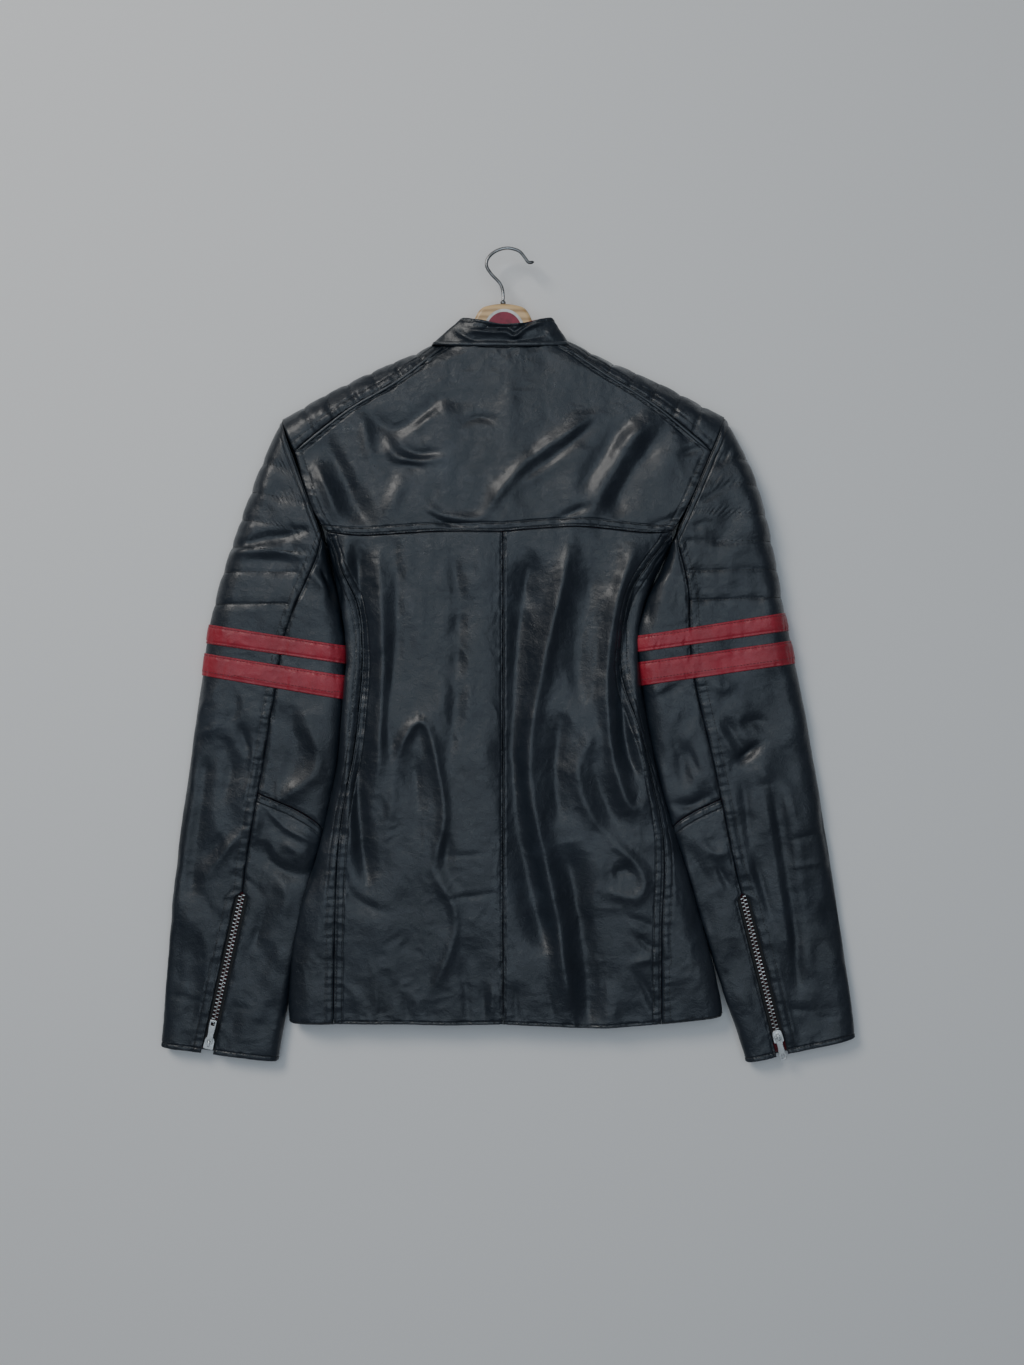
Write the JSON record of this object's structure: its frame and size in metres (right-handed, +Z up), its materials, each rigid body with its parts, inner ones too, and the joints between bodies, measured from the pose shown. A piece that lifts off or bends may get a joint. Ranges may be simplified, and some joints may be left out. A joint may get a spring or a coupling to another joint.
{
  "type": "leather riding jacket",
  "caption": "Leather riding jacket laid flat with its back up, zipped cuffs and front, banded sleeves, short collar, on a hanger with a swivel hook.",
  "frame": {"origin": "centre of the bounding box in plan, at the level of the flat surface the jacket lies on", "axes": "+Z up out of the back of the jacket, +Y from the hem towards the collar and hook, +X towards the wearer's right"},
  "size_m": [0.717, 0.8372, 0.0415],
  "materials": {
    "black_leather": "glazed, creased",
    "red_leather": "semi-gloss, puckered",
    "red_lining": "woven satin",
    "zip_metal": "polished",
    "zip_tape": "woven",
    "hanger_wood": "clear varnish",
    "hook_steel": "plated",
    "label": "printed sticker, plain"
  },
  "bodies": {
    "jacket": {"back_lining": "red_lining", "back_panel_left": "black_leather", "back_panel_right": "black_leather", "back_yoke": "black_leather", "collar_facing": "red_lining", "collar_outer": "black_leather", "cuff_zip_left_tape_left": "zip_tape", "cuff_zip_left_tape_right": "zip_tape", "cuff_zip_left_teeth_left": "zip_metal", "cuff_zip_left_teeth_right": "zip_metal", "cuff_zip_right_tape_left": "zip_tape", "cuff_zip_right_tape_right": "zip_tape", "cuff_zip_right_teeth_left": "zip_metal", "cuff_zip_right_teeth_right": "zip_metal", "forearm_inner_left": "black_leather", "forearm_inner_right": "black_leather", "forearm_outer_left": "black_leather", "forearm_outer_right": "black_leather", "front_lining_left": "red_lining", "front_lining_right": "red_lining", "front_panel_left": "black_leather", "front_panel_right": "black_leather", "front_zip_tape_left": "zip_tape", "front_zip_tape_right": "zip_tape", "front_zip_teeth_left": "zip_metal", "front_zip_teeth_right": "zip_metal", "hanger_body": "hanger_wood", "hanger_label": "label", "shoulder_panel_left": "black_leather", "shoulder_panel_right": "black_leather", "side_panel_left": "black_leather", "side_panel_right": "black_leather", "sleeve_inner_left": "black_leather", "sleeve_inner_right": "black_leather", "sleeve_lining_left": "red_lining", "sleeve_lining_right": "red_lining", "sleeve_outer_left": "black_leather", "sleeve_outer_right": "black_leather", "stripe_lower_left": "red_leather", "stripe_lower_right": "red_leather", "stripe_upper_left": "red_leather", "stripe_upper_right": "red_leather"},
    "cuff_zip_left_slider": {"cuff_zip_left_slider": "zip_metal"},
    "cuff_zip_left_pull": {"cuff_zip_left_pull": "zip_metal"},
    "cuff_zip_right_slider": {"cuff_zip_right_slider": "zip_metal"},
    "cuff_zip_right_pull": {"cuff_zip_right_pull": "zip_metal"},
    "front_zip_slider": {"front_zip_slider": "zip_metal"},
    "front_zip_pull": {"front_zip_pull": "zip_metal"},
    "hanger_hook": {"hanger_hook": "hook_steel"}
  },
  "joints": [
    {"name": "cuff_zip_left_slide", "type": "slide", "parent": "jacket", "child": "cuff_zip_left_slider", "axis": [0.2156, 0.9765, 0], "range_m": [0, 0.14]},
    {"name": "cuff_zip_left_pull_hinge", "type": "hinge", "parent": "cuff_zip_left_slider", "child": "cuff_zip_left_pull", "pos_m": [-0.3075, -0.3973, 0.02075], "axis": [0.9765, -0.2156, 0], "range_deg": [0, 176]},
    {"name": "cuff_zip_right_slide", "type": "slide", "parent": "jacket", "child": "cuff_zip_right_slider", "axis": [-0.241, 0.9705, 0], "range_m": [0, 0.132]},
    {"name": "cuff_zip_right_pull_hinge", "type": "hinge", "parent": "cuff_zip_right_slider", "child": "cuff_zip_right_pull", "pos_m": [0.2765, -0.3903, 0.02075], "axis": [0.9705, 0.241, 0], "range_deg": [-179, 0]},
    {"name": "front_zip_slide", "type": "slide", "parent": "jacket", "child": "front_zip_slider", "axis": [0, -1, 0], "range_m": [0, 0.62]},
    {"name": "front_zip_pull_hinge", "type": "hinge", "parent": "front_zip_slider", "child": "front_zip_pull", "pos_m": [-0.0055, 0.2707, 0.00625], "axis": [1, 0, 0], "range_deg": [0, 176]},
    {"name": "hook_swivel", "type": "hinge", "parent": "jacket", "child": "hanger_hook", "pos_m": [-0.0055, 0.3447, 0.0255], "axis": [0, 1, 0], "continuous": true}
  ]
}
